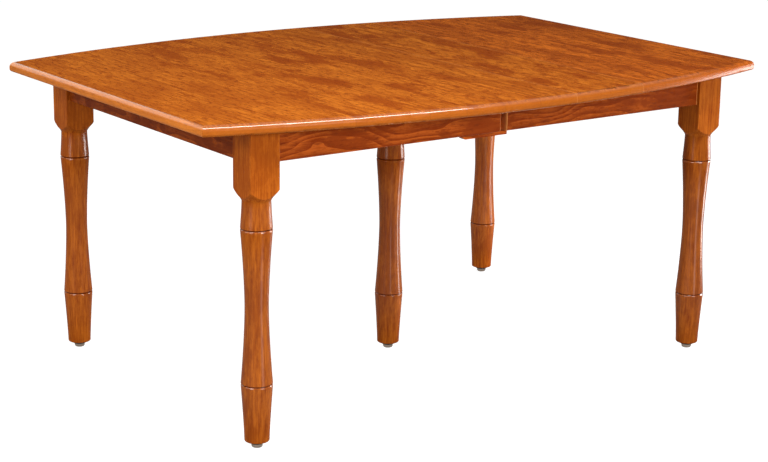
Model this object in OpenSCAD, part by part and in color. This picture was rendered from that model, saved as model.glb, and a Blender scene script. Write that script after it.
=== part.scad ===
// Boat-shaped extension dining table. X runs along the table, Y across it, Z up from the floor.
// The origin is on the floor under the middle of the table.

/* [Top] */
// Length of the closed top
top_len = 1676.4; // [1560:0.1:1800]
// Width of the top across its middle
mid_w = 1219.2; // [1150:0.1:1300]
// Width of the top at its straight ends
end_w = 965.2; // [900:0.1:1050]
// Thickness of the top
top_t = 25.4; // [22:0.1:32]
// Height of the table above the floor
table_h = 773; // [740:1:800]
// Radius of the rounded upper edge
edge_r = 13.5; // [6:0.1:14]
// Radius of the lower edge
arris_r = 7; // [2:0.1:8]
// Gap between the two halves when the table is closed
seam_gap = 0.4; // [0.2:0.1:1]

/* [Boards] */
// Left half, first board from the seam
left_1_w = 105; // [85:1:125]
// Left half, second board
left_2_w = 107; // [90:1:115]
// Left half, third board
left_3_w = 98; // [85:1:110]
// Left half, fourth board
left_4_w = 185; // [175:1:200]
// Left half, fifth board
left_5_w = 160; // [140:1:175]
// Right half, first board from the seam
right_1_w = 115; // [95:1:125]
// Right half, second board
right_2_w = 230; // [220:1:240]
// Right half, third board
right_3_w = 125; // [115:1:135]
// Right half, fourth board
right_4_w = 110; // [90:1:112]
// Right half, fifth board
right_5_w = 92; // [80:1:105]

/* [Legs] */
// Side of the square block at the top of a leg
leg_block = 76.2; // [70:0.1:90]
// Easing of the block's upright edges
block_ease = 1.5; // [0.5:0.1:4]
// Distance from the end of the top to the outer face of a leg
end_overhang = 120.1; // [90:0.1:150]
// Distance from the widest point of the top to the outer face of a leg
side_overhang = 124.8; // [100:0.1:140]
// Length of the square block on a corner leg, below the top
block_len = 135.6; // [120:0.1:150]
// Height of the turned shoulder under the block
shoulder_h = 27; // [20:0.1:34]
// Radius of the shoulder where it meets the neck
shoulder_r = 33.9; // [33.4:0.1:36]
// Radius of the neck under the shoulder
neck_r = 33.3; // [30:0.1:33.8]
// Distance from the neck down to the upper groove
neck_len = 66; // [50:1:90]
// Radius of the leg at its grooves
swell_r = 36.9; // [34:0.1:38]
// Radius of the waist
waist_r = 27.6; // [22:0.1:33]
// Radius of the leg at its foot
foot_r = 29.2; // [24:0.1:34]
// Distance from the foot up to the lower groove
foot_len = 138; // [110:1:170]
// Rounding of the foot's lower edge
foot_ease = 3; // [1:0.1:6]
// Height of a turned groove, from its bottom up to its lip
groove_h = 1.8; // [1:0.1:3]
// Depth of a turned groove
groove_d = 2; // [1:0.1:3]
// Radius of the rounded shoulder under a turned groove
groove_round = 5; // [4:0.1:8]

/* [Glides] */
// Radius of the nickel glide
glide_r = 13; // [10:0.1:16]
// Height of the nickel glide
glide_h = 10; // [6:0.1:14]
// Rounding of the glide's lower edge
glide_round = 5; // [2:0.1:5.5]
// Easing of the glide's upper edge
glide_ease = 1; // [0.3:0.1:3]
// Radius of the cushion ring
cushion_r = 16.5; // [14:0.1:20]
// Thickness of the cushion ring
cushion_h = 6; // [3:0.1:8]
// Easing of the cushion ring's edges
cushion_ease = 1.2; // [0.3:0.1:1.4]
// Radius of the glide's nail
nail_r = 2; // [1.5:0.1:3]
// Depth of the nail in the leg
nail_depth = 28; // [20:1:40]

/* [Skirts] */
// Height of the skirts
skirt_h = 76.2; // [65:0.1:90]
// Thickness of the skirts
skirt_t = 20.6; // [18:0.1:25]
// Setback of a skirt from the outer face of the leg block
skirt_setback = 10; // [4:0.1:12]
// Distance from the seam to the end of each side skirt
skirt_seam = 9.6; // [5:0.1:14]
// Easing of the skirts' free edges
skirt_ease = 2; // [0.5:0.1:4]
// Length of the guide block left of the seam
guide_len = 112; // [90:1:125]
// Lap of the guide block past the seam
guide_lap = 27; // [18:1:40]
// Thickness of the guide block
guide_t = 19; // [12:0.1:24]
// Depth of the guide block below the skirt
guide_drop = 13.5; // [6:0.1:20]
// Running gap of the guide block behind the right skirt
guide_gap = 0.5; // [0.3:0.1:1]
// Chamfer on the guide block, along its length
guide_chamfer_x = 12; // [4:1:20]
// Chamfer on the guide block, upwards
guide_chamfer_z = 7; // [3:1:14]

/* [Corner brackets] */
// Thickness of a corner bracket
bracket_t = 22; // [18:0.1:26]
// Height of a corner bracket
bracket_h = 50; // [40:0.1:56]
// Gap between the bracket and the top
bracket_top_gap = 8; // [4:0.1:12]
// Gap between the bracket and the leg's inner corner
bracket_clear = 8; // [5:0.1:14]
// Bracket wood left under the head of a bracket screw
bracket_screw_wood = 8; // [6:0.5:9]
// Radius of the hanger bolt
bolt_r = 4; // [3:0.1:5]
// Clearance round the hanger bolt in the bracket
bolt_gap = 0.5; // [0.2:0.1:1.5]
// Depth of the hanger bolt in the leg
bolt_depth = 45; // [35:1:55]
// Length of hanger bolt beyond the nut
bolt_tail = 4; // [2:0.5:8]
// Width of the nuts and bolt heads across their corners
hex_w = 15; // [13:0.1:17]
// Height of the nuts and bolt heads
hex_h = 6; // [5:0.1:8]
// Radius of the flange under a nut or head
flange_r = 9.5; // [8.5:0.1:11]
// Thickness of that flange
flange_t = 1.6; // [1:0.1:3]

/* [Slides] */
// Distance from the side skirts' inner faces to the middle of each slide
slide_inset = 214.2; // [200:0.1:236]
// Height of the rails
rail_h = 57; // [52:0.1:62]
// Thickness of the outer rails
rail_w = 28; // [26:0.1:32]
// Thickness of the middle rails
mid_rail_w = 30; // [28:0.1:31]
// Running gap between neighbouring rails
rail_gap = 0.5; // [0.3:0.1:0.8]
// Gap between the end of a rail and the end skirt
rail_end_gap = 41.9; // [30:0.1:60]
// Length of rail that stays past the gear when the table is fully open
rail_hold = 36; // [32:0.1:60]
// Drop of the middle rails below the underside of the top
mid_rail_drop = 2; // [1:0.1:4]
// Relief over each outer rail where it passes under the other half
rail_relief = 1; // [0.5:0.1:2]
// Height of the rails' tongues
tongue_h = 10; // [8:0.1:11]
// Depth of the rails' tongues
tongue_d = 6; // [4:0.1:7]
// Height of the tongues above and below the middle of the rail
tongue_offset = 16.5; // [15.5:0.1:17]
// Radius of the stop pins
stop_r = 3; // [2:0.1:3.5]
// Wood between a stop pin and the rail's inner face
stop_wall = 1.5; // [0.8:0.1:2]
// Depth of a stop pin above the tongue groove that it closes
stop_bury = 3; // [1:0.1:6]

/* [Gears] */
// Number of teeth on each gear
gear_teeth = 12; // [12:2:12]
// Tooth size: pitch diameter divided by the number of teeth
gear_module = 3; // [2.9:0.05:3.1]
// Thickness of the gears and racks
gear_t = 10; // [8:0.1:11]
// Gap above and below each gear
gear_gap = 0.5; // [0.3:0.1:0.8]
// Thinning of each tooth flank
tooth_slack = 0.15; // [0.1:0.05:0.25]
// Thickness of the rack behind its teeth
rack_back = 3; // [2:0.1:4]
// Distance from the end of a rack to the end of its rail
rack_end = 2; // [0:0.5:9]
// Room along the middle rail past the tips of the gear's teeth
gear_room = 3; // [1:0.1:8]
// Radius of the gear pins
gear_pin_r = 3; // [2:0.1:5]
// Depth of a gear pin in the wood above the gear
gear_pin_hold = 14; // [8:0.5:16]
// Running clearance of the gears on their pins
gear_pin_gap = 0.06; // [0.03:0.01:0.1]

/* [Middle leg mounting] */
// Thickness of the cross plank
plank_t = 28; // [22:0.1:34]
// Width of the cross plank
plank_w = 140; // [120:1:160]
// Length of plank beyond the middle of each slide
plank_over = 45; // [30:1:60]
// Place of the middle leg along the table, from its centre
mid_leg_x = 3.4; // [-8:0.1:8]
// Place of the middle leg across the table, from its centre line
mid_leg_y = -7.8; // [-10:0.1:10]
// Distance between the lag bolts
lag_span = 40; // [30:1:44]
// Depth of the lag bolts in the leg
lag_depth = 40; // [25:1:50]
// Distance from the plank's edge to its screws
plank_screw_edge = 25; // [18:1:32]
// Plank wood left under the head of a plank screw
plank_screw_wood = 18; // [14:0.5:18]

/* [Screws] */
// Radius of the wood screws
screw_r = 2; // [1.5:0.1:2.5]
// Radius of the screws' heads
screw_head_r = 4.4; // [3.5:0.1:4.8]
// Height of the screws' heads
screw_head_h = 3; // [2:0.1:4]
// Grip of a screw in the wood that it holds
screw_bite = 14; // [10:0.5:17]
// Clearance round pins, screws and bolts in their holes
hole_gap = 0.1; // [0.05:0.05:0.3]
// Clearance round a screw's head in the hole that it goes up through
head_gap = 0.8; // [0.3:0.1:1.2]
// Distance from an outer rail's outer face to its screws
rail_screw_edge = 9; // [8:0.5:12]
// Wood left under the head of a rail screw
rail_screw_wood = 22; // [18:0.5:24]
// Distance from the seam to the nearest rail screw
rail_screw_seam = 60; // [40:1:80]
// Distance from the seam to the nearest skirt screw
skirt_screw_seam = 140; // [135:1:155]
// Distance along a side skirt from the bracket to the nearest skirt screw
side_screw_inset = 40; // [25:1:80]
// Distance along the end skirt from the bracket to the nearest skirt screw
end_screw_inset = 70; // [30:1:110]
// Slope of the skirt screws, in degrees
pocket_angle = 15; // [12:1:18]
// Depth of the skirt screws' heads below the top
pocket_depth = 20; // [17:0.5:24]

/* [Seam] */
// Radius of the alignment pins
pin_r = 4.75; // [3:0.05:6]
// Length of an alignment pin in the right half
pin_hold = 24; // [16:1:34]
// Length of an alignment pin in the left half
pin_reach = 12; // [8:1:18]
// Gap round an alignment pin in the left half
pin_gap = 0.3; // [0.2:0.05:0.6]
// Room past the tip of an alignment pin
pin_room = 2; // [1:0.5:6]
// Distance from the centre line to the inner alignment pins
pin_y_inner = 170; // [120:1:210]
// Distance from the widest point of the top to the outer alignment pins
pin_edge = 109.6; // [75:0.1:145]

/* [Locks] */
// Distance from the side skirts' inner faces to each lock
lock_inset = 112.2; // [109:0.1:118]
// Distance from the seam to the lever's pivot
lock_pivot_x = 38; // [34:1:44]
// Distance from the seam to the keeper's stud
lock_stud_x = 22; // [18:1:26]
// Thickness of the lock's plates
lock_plate_t = 2; // [1.5:0.1:3]
// Width of the lock's plates
lock_plate_w = 20; // [18:1:24]
// Length of the lock's plates
lock_plate_len = 38; // [36:1:46]
// Distance from a lock's stud to each of its plate screws
lock_screw_y = 13; // [12:0.5:14]
// Radius of the plate screws
lock_screw_r = 1.6; // [1.2:0.1:2]
// Radius of the plate screws' flat heads
lock_head_r = 3.4; // [2.8:0.1:3.8]
// Grip of the plate screws in the top
lock_bite = 12; // [8:0.5:17]
// Thickness of the lever
lever_t = 3; // [2:0.1:4]
// Width of the lever
lever_w = 18; // [16:0.5:22]
// Length of the lever behind its pivot
lever_tail = 26; // [18:1:34]
// Width of the lever's hook round its slot
lever_lip = 8; // [5:0.5:10]
// Radius of the pivot and of the stud
stud_r = 3.5; // [3:0.1:4.5]
// Radius of the heads on the pivot and the stud
stud_head_r = 6.5; // [5.5:0.1:7.5]
// Thickness of those heads
stud_head_t = 2; // [1.2:0.1:3]
// Gap above and below the lever, and round the stud
lever_gap = 0.3; // [0.2:0.05:0.5]
// Running clearance of the lever on its pivot
lever_bore_gap = 0.06; // [0.03:0.01:0.1]
// Depth of the lever's thumb tab
thumb_h = 16; // [10:1:24]

/* [Hidden] */
$fn = 64;

// Colours
top_wood = [0.74, 0.40, 0.15];
skirt_wood = [0.64, 0.32, 0.16];
leg_wood = [0.68, 0.35, 0.13];
slide_wood = [0.82, 0.68, 0.48];
nickel = [0.80, 0.79, 0.77];
dark_rubber = [0.14, 0.11, 0.10];
zinc = [0.66, 0.67, 0.68];
nylon = [0.90, 0.89, 0.84];

// A little extra, so that a cut runs past the face it starts from
over = 1;
// A screw this close to a joint between boards also bores the neighbour
near = 8;
// Radius of a screw head's small end, as a share of its large end
head_taper = 0.7;

// The top
half_len = top_len / 2;
z_under = table_h - top_t;
bow = (mid_w - end_w) / 2;
side_radius = (half_len * half_len + bow * bow) / (2 * bow);
left_widths = [left_1_w, left_2_w, left_3_w, left_4_w, left_5_w];
right_widths = [right_1_w, right_2_w, right_3_w, right_4_w, right_5_w];
board_count = len(left_widths) + 1;
// The top's lower edge is rounded by narrow flats, a quarter of this polygon
arris_sides = 24;

// Distance from the seam to the edge of board n nearest the seam
function board_start(widths, n) = n == 0 ? seam_gap / 2 : sum_to(widths, n);
function sum_to(widths, n) = n == 0 ? 0 : widths[n - 1] + sum_to(widths, n - 1);
function board_end(widths, n) = n == len(widths) ? half_len : sum_to(widths, n + 1);

// The legs
leg_x = half_len - end_overhang - leg_block / 2;
leg_y = mid_w / 2 - side_overhang - leg_block / 2;
block_in_x = leg_x - leg_block / 2;
block_in_y = leg_y - leg_block / 2;
block_z = z_under - block_len;
neck_z = block_z - shoulder_h;
foot_z = glide_h + cushion_h;
upper_groove_z = neck_z - neck_len;
lower_groove_z = foot_z + foot_len;
waist_z = (upper_groove_z + lower_groove_z) / 2;
corner_r = leg_block / sqrt(2);
groove_lip = 0.6;
groove_angle = acos(1 - groove_d / groove_round);
groove_below = groove_round * sin(groove_angle);
groove_above = groove_h + groove_lip;
groove_steps = 5;
foot_power = 1.2;
waist_power = 1.6;
neck_power = 1.3;
turn_steps = 18;
shoulder_steps = 14;

// The skirts
skirt_in_x = leg_x + leg_block / 2 - skirt_setback - skirt_t;
skirt_in_y = leg_y + leg_block / 2 - skirt_setback - skirt_t;
skirt_z = z_under - skirt_h;
guide_z = skirt_z - guide_drop;

// The corner brackets: the outer and inner faces are the lines x + y = a constant
bracket_out = block_in_x + block_in_y - bracket_clear * sqrt(2);
bracket_in = bracket_out - bracket_t * sqrt(2);
bracket_z = z_under - bracket_top_gap - bracket_h;
bracket_middle = (bracket_out + bracket_in) / 2;

// The slides
slide_y = skirt_in_y - slide_inset;
rail_half = skirt_in_x - rail_end_gap;
travel = rail_half - rail_hold;
rail_in = mid_rail_w / 2 + rail_gap;
rail_z = z_under - rail_h;
rail_mid = rail_h / 2;
plank_z = rail_z - mid_rail_drop - plank_t;
plank_screw_x = plank_w / 2 - plank_screw_edge;
rail_screw_y = rail_in + rail_w - rail_screw_edge;
rail_screw_count = 4;
rail_screw_step = (rail_half - 2 * rail_screw_seam) / (rail_screw_count - 1);
stop_x = travel / 2;
stop_y = rail_in + stop_wall + stop_r;
stop_len = rail_mid - tongue_offset + tongue_h / 2 + stop_bury;

// The gears and racks
pressure_angle = 20;
pitch_r = gear_module * gear_teeth / 2;
base_r = pitch_r * cos(pressure_angle);
tip_h = 0.7 * gear_module;
root_h = 0.9 * gear_module;
tooth_pitch = PI * gear_module;
rack_face = pitch_r + root_h;
rack_depth = rack_face + rack_back;
rack_first = -3;
rack_last = floor((rail_half - rack_end) / tooth_pitch) - 1;
gear_pocket = pitch_r + tip_h + gear_room;
gear_pin_top = rail_mid + gear_t / 2 + gear_pin_hold;
flank_steps = 4;

// The skirts' screws
skirt_screw_count = 3;
skirt_screw_last = bracket_in - skirt_in_y - side_screw_inset;
skirt_screw_step = (skirt_screw_last - skirt_screw_seam) / (skirt_screw_count - 1);
end_screw_step = bracket_in - skirt_in_x - end_screw_inset;

// The seam and the locks
pin_y_outer = mid_w / 2 - pin_edge;
lock_y = skirt_in_y - lock_inset;
lock_reach = lock_pivot_x + lock_stud_x;
plate_z = z_under - lock_plate_t;
lever_z = plate_z - lever_gap - lever_t;
slot_w = 2 * (stud_r + lever_gap);
lever_tip_r = slot_w / 2 + lever_lip;

// Mirrors what is drawn for the right half into the left, and for the back into the front
module flip(x, y) {
    mirror([x < 0 ? 1 : 0, 0, 0]) mirror([0, y < 0 ? 1 : 0, 0]) children();
}

// A rectangle standing on y = 0, with its upper and lower corners rounded. The lower ones can be
// rounded by a few flats instead.
module eased_section(w, h, upper, lower, lower_sides = 64) {
    difference() {
        translate([-w / 2, 0]) square([w, h]);
        for (s = [0, 1]) mirror([s, 0]) {
            if (upper > 0)
                translate([w / 2 - upper, h - upper])
                    difference() {
                        square(upper + over);
                        circle(upper);
                    }
            if (lower > 0)
                translate([w / 2 - lower, lower])
                    difference() {
                        translate([0, -lower - over]) square(lower + over);
                        circle(lower, $fn = lower_sides);
                    }
        }
    }
}

// Runs a section along X: the section's x becomes Y and its y becomes Z
module along_x(from, to) {
    translate([from, 0, 0]) rotate([90, 0, 90]) linear_extrude(to - from) children();
}

// Runs a section along Y: the section's x becomes X and its y becomes Z
module along_y(from, to) {
    translate([0, to, 0]) rotate([90, 0, 0]) linear_extrude(to - from) children();
}

// The disc whose rim is one bowed side of the top
module side_disc() {
    translate([0, side_radius - mid_w / 2, z_under])
        rotate_extrude($fn = 720)
            intersection() {
                eased_section(2 * side_radius, top_t, edge_r, arris_r, arris_sides);
                square([side_radius + over, top_t]);
            }
}

// One board of the right half, between two distances from the seam
module board_blank(from, to) {
    intersection() {
        translate([from, -mid_w, z_under - over]) cube([to - from, 2 * mid_w, top_t + 2 * over]);
        side_disc();
        mirror([0, 1, 0]) side_disc();
        if (to == half_len)
            translate([0, 0, z_under])
                along_y(-mid_w, mid_w) eased_section(top_len, top_t, edge_r, arris_r, arris_sides);
    }
}

// A board with the pilot holes of every screw that enters it
module board(side, widths, n) {
    from = board_start(widths, n);
    to = board_end(widths, n);
    color(top_wood)
        flip(side, 1)
            difference() {
                board_blank(from, to);
                rail_screw_places(side, from, to) screw_hole(rail_screw_wood, screw_bite);
                skirt_screw_places(from, to) screw_hole(pocket_depth, screw_bite);
                end_screw_places(from, to) screw_hole(pocket_depth, screw_bite);
                if (n == 0) {
                    seam_holes(side);
                    lock_screw_places(side) plate_screw(hole_gap);
                }
            }
}

// Holes for the alignment pins, drawn for the right half: snug there, loose in the left half
module seam_holes(side) {
    r = side > 0 ? pin_r + hole_gap : pin_r + pin_gap;
    depth = side > 0 ? pin_hold + hole_gap : pin_reach + pin_room;
    for (y = [-pin_y_outer, -pin_y_inner, pin_y_inner, pin_y_outer])
        translate([-over, y, z_under + top_t / 2])
            rotate([0, 90, 0]) cylinder(r = r, h = seam_gap / 2 + depth + over);
}

module alignment_pins() {
    taper = pin_r / 2;
    color(slide_wood)
        for (y = [-pin_y_outer, -pin_y_inner, pin_y_inner, pin_y_outer])
            translate([-seam_gap / 2 - pin_reach, y, z_under + top_t / 2])
                rotate([0, 90, 0]) {
                    cylinder(r1 = pin_r - taper, r2 = pin_r, h = taper);
                    translate([0, 0, taper])
                        cylinder(r = pin_r, h = pin_reach - taper + seam_gap + pin_hold);
                }
}

// A screw along +Z whose head seats at z = -seat and whose point is at z = bite
module screw(seat, bite) {
    translate([0, 0, -seat]) cylinder(r = screw_r, h = seat + bite, $fn = 24);
    translate([0, 0, -seat - screw_head_h])
        cylinder(r1 = head_taper * screw_head_r, r2 = screw_head_r, h = screw_head_h, $fn = 24);
}

// The hole for that screw's shank
module screw_hole(seat, bite) {
    translate([0, 0, -seat - over])
        cylinder(r = screw_r + hole_gap, h = seat + bite + hole_gap + over, $fn = 24);
}

// The wider hole that its head goes up through
module head_hole(seat, depth) {
    translate([0, 0, -seat - depth]) cylinder(r = screw_head_r + head_gap, h = depth, $fn = 24);
}

// Upright screws from the outer rails into the top, between two distances from the seam
module rail_screw_places(side, from, to) {
    y = slide_y - side * rail_screw_y;
    for (i = [0 : rail_screw_count - 1]) {
        x = rail_screw_seam + i * rail_screw_step;
        if (x > from - near && x < to + near)
            for (s = [-1, 1]) translate([x, s * y, z_under]) children();
    }
}

// Sloping screws from the side skirts into the top, between two distances from the seam
module skirt_screw_places(from, to) {
    for (i = [0 : skirt_screw_count - 1]) {
        x = skirt_screw_seam + i * skirt_screw_step;
        if (x > from - near && x < to + near)
            for (s = [-1, 1])
                flip(1, s)
                    translate([x, skirt_in_y + skirt_t / 2, z_under])
                        rotate([-pocket_angle, 0, 0]) children();
    }
}

// Sloping screws from the end skirt into the top, between two distances from the seam
module end_screw_places(from, to) {
    x = skirt_in_x + skirt_t / 2;
    if (x > from - near && x < to + near)
        for (i = [-1, 0, 1])
            translate([x, i * end_screw_step, z_under]) rotate([0, pocket_angle, 0]) children();
}

// Upright screws through the lock plates (left half) or the keepers (right half)
module lock_screw_places(side) {
    x = side > 0 ? lock_stud_x : lock_pivot_x;
    for (y = [-1, 1], s = [-1, 1])
        translate([x, y * lock_y + s * lock_screw_y, z_under]) children();
}

// Level screws from the two corner brackets into the side skirts and the end skirt
module bracket_screw_places() {
    for (y = [-1, 1], z = [-1, 1]) {
        at_z = bracket_z + bracket_h / 2 + z * bracket_h / 4;
        flip(1, y) {
            translate([bracket_middle - skirt_in_y, skirt_in_y, at_z]) rotate([-90, 0, 0]) children();
            translate([skirt_in_x, bracket_middle - skirt_in_x, at_z]) rotate([0, 90, 0]) children();
        }
    }
}

// A small flat-headed screw along +Z, flush with the lower face of a lock plate
module plate_screw(gap) {
    translate([0, 0, -lock_plate_t])
        cylinder(r1 = lock_head_r + gap, r2 = lock_screw_r + gap, h = lock_plate_t, $fn = 24);
    translate([0, 0, -over]) cylinder(r = lock_screw_r + gap, h = lock_bite + gap + over, $fn = 24);
}

// Every wood screw of one half
module half_screws(side) {
    color(zinc)
        flip(side, 1) {
            rail_screw_places(side, 0, half_len) screw(rail_screw_wood, screw_bite);
            skirt_screw_places(0, half_len) screw(pocket_depth, screw_bite);
            end_screw_places(0, half_len) screw(pocket_depth, screw_bite);
            bracket_screw_places() screw(bracket_screw_wood, screw_bite);
            lock_screw_places(side) plate_screw(0);
        }
}

// A side skirt: square at the leg, eased at the seam and along its lower edge
module side_skirt(side, y) {
    color(skirt_wood)
        flip(side, y)
            difference() {
                intersection() {
                    translate([0, skirt_in_y + skirt_t / 2, skirt_z])
                        along_x(skirt_seam, block_in_x)
                            eased_section(skirt_t, skirt_h, 0, skirt_ease);
                    translate([skirt_seam, skirt_in_y, skirt_z - over])
                        linear_extrude(skirt_h + 2 * over) skirt_plan();
                }
                skirt_screw_places(0, half_len) {
                    screw_hole(pocket_depth, over);
                    head_hole(pocket_depth, skirt_h);
                }
                bracket_screw_places() screw_hole(over, screw_bite);
            }
}

// Plan of a side skirt, with its outer corner at the seam rounded
module skirt_plan() {
    difference() {
        square([block_in_x - skirt_seam, skirt_t]);
        translate([skirt_ease, skirt_t - skirt_ease])
            difference() {
                translate([-skirt_ease - over, 0]) square(skirt_ease + over);
                circle(skirt_ease);
            }
    }
}

// An end skirt, between the two legs of one half
module end_skirt(side) {
    color(skirt_wood)
        flip(side, 1)
            difference() {
                translate([skirt_in_x + skirt_t / 2, 0, skirt_z])
                    along_y(-block_in_y, block_in_y) eased_section(skirt_t, skirt_h, 0, skirt_ease);
                end_screw_places(0, half_len) {
                    screw_hole(pocket_depth, over);
                    head_hole(pocket_depth, skirt_h);
                }
                bracket_screw_places() screw_hole(over, screw_bite);
            }
}

// The guide blocks behind the left skirts, which lap behind the right skirts
module skirt_guides() {
    color(skirt_wood)
        for (y = [-1, 1])
            flip(1, y) {
                translate([0, 0, guide_z])
                    along_y(skirt_in_y - guide_t, skirt_in_y)
                        polygon([
                            [-skirt_seam, 0],
                            [-skirt_seam, z_under - guide_z],
                            [-guide_len, z_under - guide_z],
                            [-guide_len, guide_chamfer_z],
                            [-guide_len + guide_chamfer_x, 0]
                        ]);
                translate([-skirt_seam - over, skirt_in_y - guide_t, guide_z])
                    cube([
                        skirt_seam + over + guide_lap,
                        guide_t - guide_gap,
                        z_under - rail_relief - guide_z
                    ]);
            }
}

// Radius along a turned curve: from r0 at t = 0 to r1 at t = 1
function turned(r0, r1, power, t) = r0 + (r1 - r0) * pow(t, power);

// Points up a turned curve from (r0, z0) to (r1, z1), slow at its start
function curve_up(r0, z0, r1, z1, power) =
    [for (i = [0 : turn_steps]) [turned(r0, r1, power, i / turn_steps), z0 + (z1 - z0) * i / turn_steps]];

// The same, slow at its upper end
function curve_down(r0, z0, r1, z1, power) =
    [for (i = [0 : turn_steps]) [turned(r1, r0, power, 1 - i / turn_steps), z0 + (z1 - z0) * i / turn_steps]];

// Points of a turned groove: a rounded shoulder up to its bottom at z, then a steep wall with an eased lip
function groove(z) = concat(
    [for (i = [1 : groove_steps])
        let(a = groove_angle * i / groove_steps)
        [swell_r - groove_round * (1 - cos(a)), z - groove_below + groove_round * sin(a)]],
    [[swell_r - groove_lip, z + groove_h - groove_lip / 3],
     [swell_r - groove_lip / 3, z + groove_h + groove_lip / 3]]
);

// Half profile of the turned part, from the foot up to the neck
function leg_profile() = concat(
    [[0, foot_z], [foot_r - foot_ease, foot_z]],
    [for (a = [-60, -30, 0]) [
        foot_r - foot_ease + foot_ease * cos(a),
        foot_z + foot_ease + foot_ease * sin(a)
    ]],
    curve_up(foot_r, foot_z + 1.5 * foot_ease, swell_r, lower_groove_z - groove_below, foot_power),
    groove(lower_groove_z),
    curve_down(swell_r, lower_groove_z + groove_above, waist_r, waist_z, waist_power),
    curve_up(waist_r, waist_z + over, swell_r, upper_groove_z - groove_below, waist_power),
    groove(upper_groove_z),
    curve_down(swell_r, upper_groove_z + groove_above, neck_r, neck_z - over, neck_power),
    [[neck_r, neck_z], [0, neck_z]]
);

// Half profile that turns the lower end of the square block into the shoulder. A short tenon under it
// reaches into the turned part, so that the two are always one piece.
function shoulder_profile(top) = concat(
    [[0, neck_z - over], [neck_r - over, neck_z - over], [neck_r - over, neck_z]],
    [for (i = [0 : shoulder_steps])
        let(t = i / shoulder_steps, ease = (t + t * t * (3 - 2 * t)) / 2)
        [shoulder_r + (corner_r - shoulder_r) * ease, neck_z + shoulder_h * t]],
    [[corner_r + over, block_z + over], [corner_r + over, top], [0, top]]
);

// A leg standing at the origin, with its block cut off at a height
module turned_leg(top) {
    rotate_extrude($fn = 96) polygon(leg_profile());
    intersection() {
        rotate_extrude($fn = 96) polygon(shoulder_profile(top));
        translate([0, 0, neck_z - over])
            linear_extrude(top - neck_z + over) eased_square(leg_block, block_ease);
    }
}

// A square with its four corners rounded
module eased_square(side, r) {
    intersection() {
        square(side, center = true);
        union() {
            square([side, side - 2 * r], center = true);
            square([side - 2 * r, side], center = true);
            for (x = [-1, 1], y = [-1, 1]) translate([x, y] * (side / 2 - r)) circle(r);
        }
    }
}

module nail_hole() {
    translate([0, 0, foot_z - over]) cylinder(r = nail_r + hole_gap, h = nail_depth + hole_gap + over);
}

module corner_leg(side, y) {
    color(leg_wood)
        flip(side, y)
            difference() {
                translate([leg_x, leg_y, 0])
                    difference() {
                        turned_leg(z_under);
                        nail_hole();
                    }
                corner_axis()
                    translate([0, 0, -bolt_depth - hole_gap])
                        cylinder(r = bolt_r + hole_gap, h = bolt_depth + bracket_clear);
            }
}

module middle_leg() {
    color(leg_wood)
        difference() {
            under_middle() turned_leg(plank_z);
            under_middle() nail_hole();
            lag_places()
                translate([0, 0, -plank_t - lag_depth - hole_gap])
                    cylinder(r = bolt_r + hole_gap, h = plank_t + lag_depth);
        }
}

// A nickel glide with its nail
module glide() {
    rotate_extrude()
        intersection() {
            eased_section(2 * glide_r, glide_h, glide_ease, glide_round);
            square([glide_r + over, glide_h]);
        }
    translate([0, 0, glide_h - over]) cylinder(r = nail_r, h = cushion_h + nail_depth + over);
}

// The cushion ring above a glide
module cushion() {
    difference() {
        translate([0, 0, glide_h])
            rotate_extrude()
                intersection() {
                    eased_section(2 * cushion_r, cushion_h, cushion_ease, cushion_ease);
                    square([cushion_r + over, cushion_h]);
                }
        translate([0, 0, glide_h - over]) cylinder(r = nail_r + hole_gap, h = cushion_h + 2 * over);
    }
}

// Places something under both corner legs of one half
module under_legs(side) {
    for (y = [-1, 1]) flip(side, y) translate([leg_x, leg_y, 0]) children();
}

// Places something on the middle leg's axis
module under_middle() {
    translate([mid_leg_x, mid_leg_y, 0]) children();
}

// A line from the leg's inner corner towards the middle of the table, through the bracket
module corner_axis() {
    translate([block_in_x, block_in_y, bracket_z + bracket_h / 2])
        rotate([0, 0, 45]) rotate([0, -90, 0]) children();
}

module corner_brackets(side) {
    color(slide_wood)
        flip(side, 1)
            difference() {
                for (y = [-1, 1])
                    flip(1, y)
                        difference() {
                            translate([0, 0, bracket_z])
                                linear_extrude(bracket_h)
                                    polygon([
                                        [bracket_out - skirt_in_y, skirt_in_y],
                                        [skirt_in_x, bracket_out - skirt_in_x],
                                        [skirt_in_x, bracket_in - skirt_in_x],
                                        [bracket_in - skirt_in_y, skirt_in_y]
                                    ]);
                            corner_axis()
                                cylinder(r = bolt_r + bolt_gap, h = bracket_clear + bracket_t + over);
                        }
                bracket_screw_places() {
                    screw_hole(bracket_screw_wood, over);
                    head_hole(bracket_screw_wood, bracket_t);
                }
            }
}

module corner_bolts(side) {
    length = bolt_depth + bracket_clear + bracket_t + flange_t + hex_h + bolt_tail;
    color(zinc)
        for (y = [-1, 1])
            flip(side, y) corner_axis() translate([0, 0, -bolt_depth]) cylinder(r = bolt_r, h = length);
}

module corner_nuts(side) {
    color(zinc)
        for (y = [-1, 1])
            flip(side, y)
                corner_axis()
                    translate([0, 0, bracket_clear + bracket_t])
                        difference() {
                            flanged_hex();
                            translate([0, 0, -over])
                                cylinder(r = bolt_r + hole_gap, h = flange_t + hex_h + 2 * over);
                        }
}

// A hexagon on a round flange
module flanged_hex() {
    cylinder(r = flange_r, h = flange_t);
    cylinder(d = hex_w, h = flange_t + hex_h, $fn = 6);
}

// Places a rail in one slide set. It is drawn with its own half of the table towards +X and its
// neighbour towards -Y, measured from the middle of the slide and up from the bottom of the rail.
module rail_place(side, y) {
    flip(side, y) translate([0, slide_y, rail_z]) mirror([0, side > 0 ? 1 : 0, 0]) children();
}

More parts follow.
